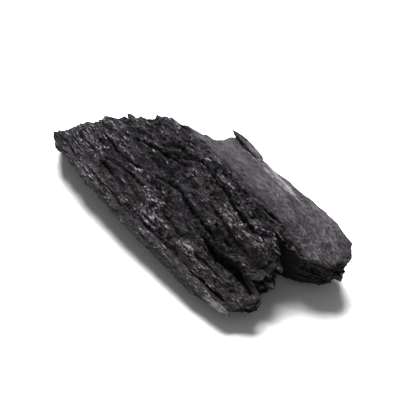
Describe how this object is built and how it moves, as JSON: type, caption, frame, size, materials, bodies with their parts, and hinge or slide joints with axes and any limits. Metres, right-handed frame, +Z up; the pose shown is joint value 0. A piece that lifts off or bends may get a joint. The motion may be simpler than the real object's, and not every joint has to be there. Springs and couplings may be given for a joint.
{
  "type": "charcoal lump",
  "caption": "Split slab of hardwood charcoal with a torn, cleft face, a smooth split face and broken ends, lying on its flattest side.",
  "frame": {"origin": "middle of the lump's length and width, on the surface that it lies on", "axes": "+X along the wood grain, towards the end with the two lobes; +Y across the grain, towards the smooth split face's outer edge; +Z up, away from the resting surface"},
  "size_m": [0.1714, 0.0796, 0.0448],
  "materials": {
    "charcoal": "matt black, with a faint silky sheen along the grain"
  },
  "bodies": {
    "root": {"charcoal_lump": "charcoal"}
  },
  "joints": []
}
